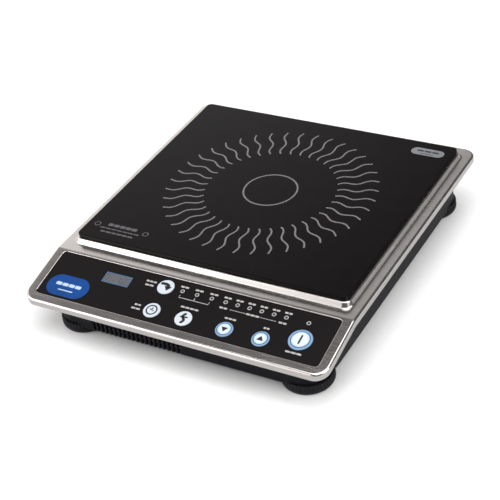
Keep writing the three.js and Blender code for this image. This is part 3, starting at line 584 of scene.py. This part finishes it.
def studio():
    """A pale floor, a dome with one pale wall, and three softboxes."""
    world = bpy.data.worlds.new("studio")
    bpy.context.scene.world = world
    world.use_nodes = True
    background = world.node_tree.nodes["Background"]
    world.node_tree.links.new(sky(world.node_tree), background.inputs["Strength"])
    background.inputs["Color"].default_value = (1.0, 0.98, 0.975, 1.0)
    softbox("softbox_front", (-2.3, -1.9, 1.5), (0, 0, 0.05), (2.2, 1.6), 34)
    softbox("softbox_top", (0.5, -0.4, 2.4), (0, 0, 0), (2.6, 2.6), 76)
    softbox("softbox_right", (2.4, -0.5, 1.7), (0, 0, 0), (2.0, 1.6), 42)
    outline = rounded((-FLOOR_REACH, -FLOOR_REACH), (FLOOR_REACH, FLOOR_REACH), FLOOR_CORNER, 12)
    floor = Shape().add([(x, y, 0.0) for x, y in outline], [range(len(outline))])
    mesh = bpy.data.meshes.new("floor")
    mesh.from_pydata([p * MM for p in floor.points], [], floor.faces)
    paint = Finish("floor_paper", (0.9, 0.9, 0.9), 0.7)
    grain = paint.noise(4.0, 2.0)
    paint.set(Base_Color=paint.tint(grain, (0.89, 0.89, 0.89), (0.91, 0.91, 0.91)))
    mesh.materials.append(paint.material)
    stage = bpy.data.objects.new("floor", mesh)
    bpy.context.scene.collection.objects.link(stage)
    bpy.context.scene.view_settings.view_transform = "Standard"


make_camera()
studio()

# ---------------------------------------------------------------- control layout

KEYS = ("preset_time", "set_time", "function", "down", "up", "power")


def key_place(key):
    """Middle and radius of the round cap of a button, without the lip under the steel."""
    low, high = panel_extent(f"button_{key}")
    return (low.x + high.x) / 2, (low.y + high.y) / 2, (high.x - low.x) / 2 - KEY_LIP


KEY_PLACES = {key: key_place(key) for key in KEYS}
KEY_FOOT, KEY_TOP = (corner.z for corner in panel_extent("button_power"))


def light_places():
    """The middle of every light: its stem stands highest on its light pipe."""
    places = []
    for pipe in ("function", "level", "power"):
        points = panel_points(f"{pipe}_light_pipe")
        top = max(p.z for p in points)
        high = sorted(p.x for p in points if p.z > top - 0.05)
        row = [p.y for p in points if p.z > top - 0.05]
        middle = (min(row) + max(row)) / 2
        group = [high[0]]
        for x in high[1:] + [1e9]:
            if x - group[-1] > LIGHT_RADIUS:
                places.append(((group[0] + group[-1]) / 2, middle))
                group = []
            group.append(x)
    return places


LIGHTS = light_places()
window_low, window_high = panel_extent("display_window")
window_x, window_y = (window_low.x + window_high.x) / 2, (window_low.y + window_high.y) / 2


def window_outline(grow):
    """The outline of the display window, made larger on every side."""
    low = (window_low.x - grow, window_low.y - grow)
    high = (window_high.x + grow, window_high.y + grow)
    return rounded(low, high, max(WINDOW_CORNER + grow, 0.3), 4)


def control_holes():
    """The holes of the control face for the buttons and the lights."""
    keys = [circle(radius + HOLE_CLEARANCE, 48, x, y) for x, y, radius in KEY_PLACES.values()]
    return keys + [circle(LIGHT_RADIUS + HOLE_CLEARANCE, 20, x, y) for x, y in LIGHTS]


# ---------------------------------------------------------------- steel cover

CREASE_BLEND = 1.2
CREASE_CUTS = [CREASE_Y + CREASE_BLEND * k for k in (-1, -0.5, 0, 0.5, 1)]


def slope(y):
    """How far the sheet has dropped at y: a bend of small radius, then an even slope."""
    beyond = CREASE_Y - y
    if beyond <= -CREASE_BLEND:
        return 0.0
    if beyond >= CREASE_BLEND:
        return beyond * math.tan(PANEL_ANGLE)
    return math.tan(PANEL_ANGLE) * (beyond + CREASE_BLEND) ** 2 / (4 * CREASE_BLEND)


def cover_ring(inset, height):
    """The outline of the cover, moved inwards, at a height above its sloping sheet."""
    outline = rounded(
        (body_low.x + inset, body_low.y + inset),
        (body_high.x - inset, body_high.y - inset),
        BODY_CORNER - inset,
        12,
        CREASE_CUTS,
    )
    return [(x, y, FLANGE_TOP + height - slope(y)) for x, y in outline]


def plinth_ring(outset, height):
    """The outline of the glass, moved outwards, at a height above the flange."""
    outline = rounded(
        (glass_low.x - outset, glass_low.y - outset),
        (glass_high.x + outset, glass_high.y + outset),
        max(GLASS_CORNER + outset, 1.0),
        10,
    )
    return [(x, y, FLANGE_TOP + height) for x, y in outline]


def panel_ring(outset, height):
    """The outline of the panel's recess, moved outwards, in the panel's own frame."""
    low = (-PANEL_X - outset, -PANEL_FRONT - outset)
    high = (PANEL_X + outset, -PANEL_REAR + outset)
    return [(x, y, height) for x, y in rounded(low, high, PANEL_CORNER + outset, 8)]


def fold_profile(radius, inset, height, steps=8):
    """A quarter bend from the flat of the sheet down to the skirt."""
    angles = [QUARTER * k / steps for k in range(steps + 1)]
    return [(inset + radius * (1 - math.sin(a)), height - radius * (1 - math.cos(a))) for a in angles]


def steel_cover():
    """One folded sheet: skirts and flange, plinth and ledge, and the panel's recess with its holes."""
    cover = Shape()
    in_panel = Shape(PANEL)
    outer = fold_profile(FOLD, 0.0, 0.0)
    hem = [(0.0, 0.35), (0.12, 0.1), (0.35, 0.0), (0.65, 0.0), (0.88, 0.1), (1.0, 0.35)]
    hem = [(inset, rise - SKIRT) for inset, rise in hem]
    inner = fold_profile(FOLD - SHEET, SHEET, -SHEET)[::-1]
    rings = [cover_ring(*p) for p in outer + hem + inner]
    cover.loft(rings)

    foot = curve((5.2, 0.0), (4.2, 0.0), (3.75, 0.84))
    crest = curve((1.95, 4.18), (1.4, PLINTH_RISE), (0.3, PLINTH_RISE))
    face = foot + crest
    lining = [(outset - 0.9, height - SHEET) for outset, height in reversed(face)]
    ledge = [(-LEDGE, PLINTH_RISE), (-LEDGE, PLINTH_RISE - SHEET)]
    plinth = [plinth_ring(*p) for p in face + ledge + lining]
    cover.loft(plinth)

    lip = curve((0.9, 0.0), (0.0, 0.0), (0.0, -0.75))
    lip += curve((0.0, -0.85), (0.0, PANEL_FLOOR), (-0.3, PANEL_FLOOR))
    recess = [panel_ring(*p) for p in lip]
    in_panel.loft(recess)
    under = PANEL_FLOOR - SHEET
    pad = panel_ring(1.0, under)
    holes = control_holes() + [window_outline(FILM_INSET - WINDOW_LIP)]
    in_panel.fill([recess[-1]] + [[(x, y, PANEL_FLOOR) for x, y in hole] for hole in holes])
    in_panel.fill([pad] + [[(x, y, under) for x, y in hole] for hole in holes])
    for hole in holes:
        in_panel.loft([[(x, y, height) for x, y in hole] for height in (PANEL_FLOOR, under)])

    rim = [tuple(PANEL @ Vector(p)) for p in recess[0]]
    pad_top = [tuple(PANEL @ Vector(p)) for p in panel_ring(1.0, 0.0)]
    pad_top = [(x, y, FLANGE_TOP - SHEET - slope(y)) for x, y, _ in pad_top]
    cover.loft([pad_top, [tuple(PANEL @ Vector(p)) for p in pad]])
    count = len(CREASE_CUTS)
    half = len(rings[0]) // 2
    chords = [(i, half + count - 1 - i) for i in range(count)]
    cover.fill([rings[0], plinth[0], rim], chords)
    cover.fill([rings[-1], plinth[-1], pad_top], chords)
    return cover.add(in_panel.points, in_panel.faces)


build("steel_cover", steel_cover(), PALETTE["brushed_steel"], replaces=["top_cover"])

AXIS = 0.01  # radius of the small flat that closes a turned piece
LEG_RADIUS, LEG_BORE, LEG_BEVEL = 4.0, 2.3, 0.4
LEG_FOOT, LEG_BORE_TOP = 10.2, 24.7


def cover_legs():
    """Four legs that stand down from the ledge to the tray's floor, each bored from below."""
    top = FLANGE_TOP + PLINTH_RISE - SHEET
    profile = [
        (AXIS, top),
        (LEG_RADIUS, top),
        (LEG_RADIUS, LEG_FOOT + LEG_BEVEL),
        (LEG_RADIUS - LEG_BEVEL, LEG_FOOT),
        (LEG_BORE, LEG_FOOT),
        (LEG_BORE, LEG_BORE_TOP),
        (AXIS, LEG_BORE_TOP),
    ]
    for number in range(1, 5):
        low, high = extent(f"cover_screw_{number}")
        leg = Shape().turn(profile, 24, (low.x + high.x) / 2, (low.y + high.y) / 2)
        build(f"cover_leg_{number}", leg, PALETTE["zinc_steel"])


STUDS = ((-127.3, -15.3), (-127.3, -44.8), (0.0, -30.05), (114.05, -15.3), (108.4, -44.8))
STUD_RADIUS, PIN_RADIUS = 2.4, 1.2
BOARD_TOP, BOARD_LOW = -9.5, -11.1


def panel_studs():
    """Five studs under the control face; their pins pass through the control board."""
    profile = [
        (AXIS, BOARD_LOW),
        (PIN_RADIUS - 0.2, BOARD_LOW),
        (PIN_RADIUS, BOARD_LOW + 0.2),
        (PIN_RADIUS, BOARD_TOP + 0.3),
        (STUD_RADIUS, BOARD_TOP + 0.3),
        (STUD_RADIUS, PANEL_FLOOR - SHEET),
        (AXIS, PANEL_FLOOR - SHEET),
    ]
    for number, (x, y) in enumerate(STUDS, 1):
        stud = Shape(PANEL).turn(profile, 24, x, y)
        build(f"panel_stud_{number}", stud, PALETTE["zinc_steel"])


cover_legs()
panel_studs()

# ---------------------------------------------------------------- glass and its print

GLASS_EDGE = 0.8


def glass_ring(inset, height):
    """The outline of the glass, moved inwards, at a height."""
    outline = rounded(
        (glass_low.x + inset, glass_low.y + inset),
        (glass_high.x - inset, glass_high.y - inset),
        GLASS_CORNER - inset,
        10,
    )
    return [(x, y, height) for x, y in outline]


def glass_plate():
    """The plate with a rounded upper edge and a small bevel below."""
    top = glass_high.z - PRINT
    round_over = fold_profile(GLASS_EDGE, 0.0, top, 5)
    lower = [(0.0, glass_low.z + GLASS_EDGE), (0.25, glass_low.z + 0.25), (GLASS_EDGE, glass_low.z)]
    rings = [glass_ring(*p) for p in round_over + lower]
    return Shape().loft(rings, first=True, last=True)


build("ceramic_glass", glass_plate(), PALETTE["black_glass"], replaces=["glass_plate"])

WAVE_COUNT = 40
WAVE_START, WAVE_END = 68.6, 109.0
WAVE_SWING = 1.95
WAVE_LENGTH = 27.0
WAVE_DIP, WAVE_SHIFT = 87.3, 0.2
ZONE_RING = 27.5
ZONE_STRETCH = (1.012, 0.996)
ZONE_LINE = 1.75
ZONE_X, ZONE_Y = (glass_low.x + glass_high.x) / 2, (glass_low.y + glass_high.y) / 2
PRINT_LOW, PRINT_TOP = glass_high.z - 2 * PRINT, glass_high.z


def on_zone(x, y):
    """A point of the zone's print, from its place about the middle of the zone."""
    return ZONE_X + ZONE_STRETCH[0] * x, ZONE_Y + ZONE_STRETCH[1] * y


def wave_path(angle, steps=22):
    """A short wavy line that runs outwards from the middle of the zone."""
    path = []
    for i in range(steps + 1):
        reach = WAVE_START + (WAVE_END - WAVE_START) * i / steps
        swing = WAVE_SHIFT - WAVE_SWING * math.cos(2 * math.pi * (reach - WAVE_DIP) / WAVE_LENGTH)
        out, across = math.cos(angle), math.sin(angle)
        path.append(on_zone(reach * out - swing * across, reach * across + swing * out))
    return path


def zone_print():
    """The ring in the middle of the zone and the wavy marks round it."""
    marks = Shape()
    edges = (ZONE_RING + ZONE_LINE / 2, ZONE_RING - ZONE_LINE / 2)
    marks.prism([[on_zone(*p) for p in circle(radius, 96)] for radius in edges], PRINT_LOW, PRINT_TOP)
    for i in range(WAVE_COUNT):
        mark = stroke(wave_path(2 * math.pi * i / WAVE_COUNT), ZONE_LINE)
        marks.prism([mark], PRINT_LOW, PRINT_TOP)
    return marks


build("zone_marks", zone_print(), PALETTE["glass_print"])


def stadium(x, y, width, length):
    """A bar with fully round ends, wider than it is long."""
    low, high = (x - width / 2, y - length / 2), (x + width / 2, y + length / 2)
    return rounded(low, high, length / 2 - 1e-3, 16)


def dashes(x, y, width, height, count):
    """A short row of plain bars where a caption would be."""
    space = 0.7
    length = (width - space * (count - 1)) / count
    row = []
    for i in range(count):
        start = x - width / 2 + i * (length + space)
        low, high = (start, y - height / 2), (start + length, y + height / 2)
        row.append(rounded(low, high, height * 0.3, 3))
    return row


def on_glass(bars):
    """A printed layer on the glass, one flat plate for each outline."""
    layer = Shape()
    for bar in bars:
        layer.prism([bar], PRINT_LOW, PRINT_TOP)
    return layer


def badge_outlines(x, y, size, row, line):
    """The plate of a badge and the bars on it.

    The row of bars is given by its offset, width, height and count, and the thin line below it by
    its offset, width and height.
    """
    bars = dashes(x, y + row[0], *row[1:]) + dashes(x, y + line[0], *line[1:], 1)
    return stadium(x, y, *size), bars


glass_badge, glass_bars = badge_outlines(123.5, 148.0, (36.0, 12.5), (1.2, 24.0, 3.2, 3), (-3.4, 15.0, 1.3))
silver_plate = Shape().prism([glass_badge] + glass_bars, PRINT_LOW, PRINT_TOP)
build("glass_badge", silver_plate, PALETTE["badge_silver"])
build("glass_badge_bars", on_glass(glass_bars), PALETTE["badge_ink"])

NOTE_X, NOTE_Y = -110.0, -82.0


def glass_note():
    """Three rows of plain bars between two small rings."""
    rows = dashes(NOTE_X, NOTE_Y + 6.4, 34, 4.2, 5)
    rows += dashes(NOTE_X, NOTE_Y, 46, 1.6, 7)
    rows += dashes(NOTE_X, NOTE_Y - 5.6, 38, 2.2, 6)
    note = on_glass(rows)
    for side in (-1, 1):
        x, y = NOTE_X + 28.5 * side, NOTE_Y + 4.0
        note.prism([circle(3.4, 28, x, y), circle(2.4, 28, x, y)], PRINT_LOW, PRINT_TOP)
    return note


build("glass_note", glass_note(), PALETTE["glass_print_faint"])

# ---------------------------------------------------------------- overlay, window and badge


def film():
    """The film that lies in the panel's recess."""
    outline = rounded(
        (-PANEL_X + FILM_INSET, -PANEL_FRONT + FILM_INSET),
        (PANEL_X - FILM_INSET, -PANEL_REAR - FILM_INSET),
        PANEL_CORNER - FILM_INSET,
        8,
    )
    return Shape(PANEL).prism([outline, window_outline(FILM_INSET)] + control_holes(), FILM_LOW, FILM_TOP)


build("panel_film", film(), PALETTE["overlay_film"], replaces=["control_overlay"])

pane = Shape(PANEL).prism([window_outline(0.0)], FILM_LOW, FILM_TOP)
build("window_pane", pane, PALETTE["display_tint"], replaces=["display_window"])


def on_panel(loops, low=FILM_TOP - PRINT, high=FILM_TOP + PRINT):
    """A printed layer on the panel: each entry is an outline, or an outline with its holes."""
    layer = Shape(PANEL)
    for entry in loops:
        group = entry if isinstance(entry[0], list) else [entry]
        layer.prism(group, low, high)
    return layer


WINDOW_RIM = 1.0
border = on_panel([[window_outline(-0.1), window_outline(-WINDOW_RIM)]])
build("window_border", border, PALETTE["window_rim"])


def seven_segments(x, y, width=4.2, length=8.6, line=0.75):
    """The bars of one unlit digit, which leans a little."""
    half, lean, gap = length / 2, 0.09, 0.6
    bars = []
    for rise in (-half, 0, half):
        middle = x + lean * rise
        bars.append([(middle - width / 2 + gap, y + rise), (middle + width / 2 - gap, y + rise)])
    for side in (-width / 2, width / 2):
        for level in (-1, 1):
            ends = (level * gap, level * (half - gap))
            bars.append([(x + side + lean * rise, y + rise) for rise in ends])
    return [stroke(bar, line, 4) for bar in bars]


digits = [bar for k in range(4) for bar in seven_segments(window_x - 10.2 + 6.8 * k, window_y)]
build("unlit_digits", on_panel(digits), PALETTE["segment_shade"])

panel_badge, panel_bars = badge_outlines(-124.6, -43.0, (47.0, 25.5), (1.6, 29.0, 3.8, 4), (-5.4, 17.0, 1.3))
blue_plate = on_panel([panel_badge], FILM_TOP - PRINT, FILM_TOP + 3 * PRINT)
build("panel_badge", blue_plate, PALETTE["badge_blue"])
build("panel_badge_bars", on_panel(panel_bars, FILM_TOP, FILM_TOP + 4 * PRINT), PALETTE["badge_border"])

# ---------------------------------------------------------------- printed marks on the panel


LABEL = 1.9  # height of the bars that stand for a caption
LINE = 0.6
MARK_TOP = 0.23


def light_marks():
    """A ring round each light with a caption above it."""
    marks = []
    for number, (x, y) in enumerate(LIGHTS):
        marks.append([circle(2.15, 24, x, y), circle(1.35, 24, x, y)])
        if number < 3:
            marks += dashes(x, y + 5.2, 8.6, LABEL, 2)
        elif number < 9:
            marks += dashes(x, y + 5.2, 7.6, LABEL, 2)
    return marks


def row_marks():
    """The bracket below the first three lights, and the scale below the next six."""
    y = LIGHTS[0][1] - 7.7
    start, middle, end = (LIGHTS[k][0] for k in range(3))
    bracket = [(start, y + 2.6), (start, y), (end, y), (end, y + 2.6)]
    marks = [stroke(bracket, LINE), stroke([(middle, y + 0.25), (middle, y + 3.0)], LINE)]
    y += 0.7
    start, end = LIGHTS[3][0] - 4, LIGHTS[8][0] + 4.4
    marks += dashes(start + 5, y, 8, LABEL, 2) + dashes(start + 20, y, 16, LINE, 6)
    marks += dashes((start + end) / 2, y, 14, LABEL, 3)
    marks += dashes(end - 20, y, 16, LINE, 6) + dashes(end - 5, y, 8, LABEL, 2)
    return marks


# The rows of bars beside each key: offset from its middle, width and number of bars.
CAPTIONS = {
    "preset_time": ((-17.2, 2.2, 11.5, 3), (-17.2, -2.4, 9.5, 2)),
    "set_time": ((-16.8, 2.1, 7, 2), (-16.8, -2.5, 9.5, 2)),
    "function": ((0, 12.6, 19, 4),),
    "down": ((0, 12.6, 12, 3),),
    "up": ((0, 12.6, 6, 2),),
    "power": ((0, -15.4, 16, 3),),
}


def key_captions():
    """The rows of bars beside the keys."""
    marks = []
    for key, rows in CAPTIONS.items():
        x, y, _ = KEY_PLACES[key]
        for right, up, width, count in rows:
            marks += dashes(x + right, y + up, width, LABEL, count)
    return marks


panel_marks = light_marks() + row_marks() + key_captions()
build("panel_marks", on_panel(panel_marks, FILM_TOP - PRINT, MARK_TOP), PALETTE["panel_print"])

# ---------------------------------------------------------------- keys

STEM = 2.2
LIP_TOP, LIP_LOW = -2.5, -3.5
SHOULDER = 0.55
DOME = 0.12


def key_shape(x, y, radius):
    """The cap, its round shoulder and slight dome, the lip under the steel and the stem."""
    flat = radius - SHOULDER
    bends = (QUARTER, 1.2, 0.8, 0.4)
    shoulder = [
        (flat + SHOULDER * math.sin(a), KEY_TOP - DOME - SHOULDER * (1 - math.cos(a))) for a in bends
    ]
    dome = [(flat - flat * t, KEY_TOP - DOME * (1 - t) ** 2) for t in (0.0, 0.25, 0.5, 0.75, 0.99)]
    profile = [
        (0.02, KEY_FOOT),
        (STEM, KEY_FOOT),
        (STEM, LIP_LOW),
        (radius + KEY_LIP, LIP_LOW),
        (radius + KEY_LIP, LIP_TOP),
        (radius, LIP_TOP),
    ]
    return Shape(PANEL).turn(profile + shoulder + dome, 64, x, y)


def triangle(x, y, width, height):
    """An arrowhead with softened corners; a negative height points it down."""
    tips = [(x - width / 2, y - height / 2), (x + width / 2, y - height / 2), (x, y + height / 2)]
    outline = []
    for i, tip in enumerate(tips):
        before, after = Vector(tips[i - 1]), Vector(tips[(i + 1) % 3])
        corner = Vector(tip)
        outline += curve(tuple(corner.lerp(before, 0.12)), tip, tuple(corner.lerp(after, 0.12)), 3)
    return outline


def key_glyphs(key, x, y):
    """The dark symbol of each key, made of plain strokes and arrowheads."""
    if key == "preset_time":
        bend = curve((x - 5.0, y + 2.9), (x + 2.6, y + 3.9), (x + 3.0, y + 0.4), 8)
        return [stroke(bend, 3.1), triangle(x + 2.6, y - 1.8, 8.0, -5.4)]
    if key == "set_time":
        hands = stroke([(x - 1.6, y + 0.8), (x, y - 0.3), (x + 0.4, y + 2.4)], 1.2)
        return [[circle(5.9, 40, x, y), circle(4.6, 40, x, y)], hands, circle(0.7, 12, x + 1.9, y - 0.5)]
    if key == "function":
        path = [(x + 1.5 * math.sin(2 * math.pi * t / 14), y - 5 + 10 * t / 14) for t in range(15)]
        return [stroke(path, 2.7), stroke([(x - 3.4, y + 1.2), (x + 3.2, y + 1.6)], 1.7)]
    if key == "down":
        return [triangle(x, y - 0.5, 7.2, -5.2)]
    if key == "up":
        return [triangle(x, y + 0.4, 7.2, 5.2)]
    return [stroke([(x, y - 4.4), (x, y + 4.4)], 1.8)]


# Radius of the dark ring, of the pale ring inside it and of the middle.
BLUE_KEYS = {"down": (7.1, 6.3, 4.9), "up": (7.1, 6.3, 4.9), "power": (9.4, 8.6, 7.3)}

for key, (x, y, radius) in KEY_PLACES.items():
    body = f"button_{key}"
    key_slot = "blue_key" if key in BLUE_KEYS else "white_key"
    build(f"key_{key}", key_shape(x, y, radius), PALETTE[key_slot], body, [body])
    if key in BLUE_KEYS:
        dark, pale, middle = (circle(reach, 56, x, y) for reach in BLUE_KEYS[key])
        for part, layer, ink in (
            ("line", [[dark, pale]], "key_line"),
            ("ring", [[pale, middle]], "key_pale"),
            ("centre", [middle], "key_centre"),
        ):
            build(f"key_{key}_{part}", on_panel(layer, KEY_TOP - 0.24, KEY_TOP + PRINT), PALETTE[ink], body)
    symbol = on_panel(key_glyphs(key, x, y), KEY_TOP - 0.04, KEY_TOP + 3 * PRINT)
    build(f"key_{key}_symbol", symbol, PALETTE["key_print"], body)

# ---------------------------------------------------------------- feet

FOOT_RIBS = 44
FOOT_EDGE = 4.0
FOOT_STEPS = 4 * FOOT_RIBS
RIB_DEPTH = 0.9


def foot_shape(x, y, radius, height):
    """A turned rubber foot with upright ribs round its upper part and a well for its screw."""

    def ring(reach, level, ribs=0.0):
        points = []
        for i in range(FOOT_STEPS):
            angle = 2 * math.pi * i / FOOT_STEPS
            r = reach - ribs * (0.5 - 0.5 * math.cos(FOOT_RIBS * angle))
            points.append((x + r * math.cos(angle), y + r * math.sin(angle), level))
        return points

    rings = [ring(4.4, 5.0), ring(4.4, 0.5), ring(4.9, 0.0)]
    for angle in (QUARTER * k / 6 for k in range(7)):
        rings.append(ring(radius - FOOT_EDGE * (1 - math.sin(angle)), FOOT_EDGE * (1 - math.cos(angle))))
    rings += [ring(radius, 5.2), ring(radius - 0.5, 5.7), ring(radius - 0.5, 5.9)]
    rings += [ring(radius - 0.1, 6.2, RIB_DEPTH), ring(radius - 0.1, height - 0.5, RIB_DEPTH)]
    rings.append(ring(radius - 0.6, height, RIB_DEPTH))
    rings += [ring(2.3, height), ring(2.3, 5.0)]
    return Shape().loft(rings + rings[:1])


for number in range(1, 5):
    node = f"foot_{number}"
    low, high = extent(node)
    foot = foot_shape((low.x + high.x) / 2, (low.y + high.y) / 2, (high.x - low.x) / 2, high.z)
    build(f"rubber_{node}", foot, PALETTE["foot_rubber"], replaces=[node])

# ---------------------------------------------------------------- screws


SCREW_STEPS = 48
HEAD_RADIUS, HEAD_RISE, SHANK_RADIUS = 3.8, 2.2, 2.0
SOCKET_LOBES = 0.14


def screw_shape(x, y, low, high, up):
    """A pan-head screw with a six-lobed socket; up says which way its head faces."""

    def ring(reach, level, lobes=0.0):
        points = []
        for i in range(SCREW_STEPS):
            angle = 2 * math.pi * i / SCREW_STEPS
            r = reach * (1 + lobes * math.cos(6 * angle))
            points.append((x + r * math.cos(angle), y + r * math.sin(angle), level))
        return points

    tip, top, way = (low, high, 1) if up else (high, low, -1)
    seat = top - way * HEAD_RISE
    rings = [ring(0.05, tip), ring(SHANK_RADIUS, tip + way * SHANK_RADIUS), ring(SHANK_RADIUS, seat)]
    rings.append(ring(HEAD_RADIUS, seat))
    for share, level in ((1.0, 0.45), (0.95, 0.7), (0.82, 0.88), (0.62, 0.98), (0.5, 1.0)):
        rings.append(ring(HEAD_RADIUS * share, seat + way * HEAD_RISE * level))
    rings += [ring(1.5, top, SOCKET_LOBES), ring(1.4, top - way * 1.2, SOCKET_LOBES)]
    rings.append(ring(0.05, top - way * 1.3))
    return Shape().loft(rings, first=True, last=True)


for family, count, up in (("foot_screw", 4, False), ("cover_screw", 4, False), ("carrier_screw", 3, True)):
    for number in range(1, count + 1):
        node = f"{family}_{number}"
        low, high = extent(node)
        screw = screw_shape((low.x + high.x) / 2, (low.y + high.y) / 2, low.z, high.z, up)
        build(f"{node}_piece", screw, PALETTE["zinc_steel"], replaces=[node])
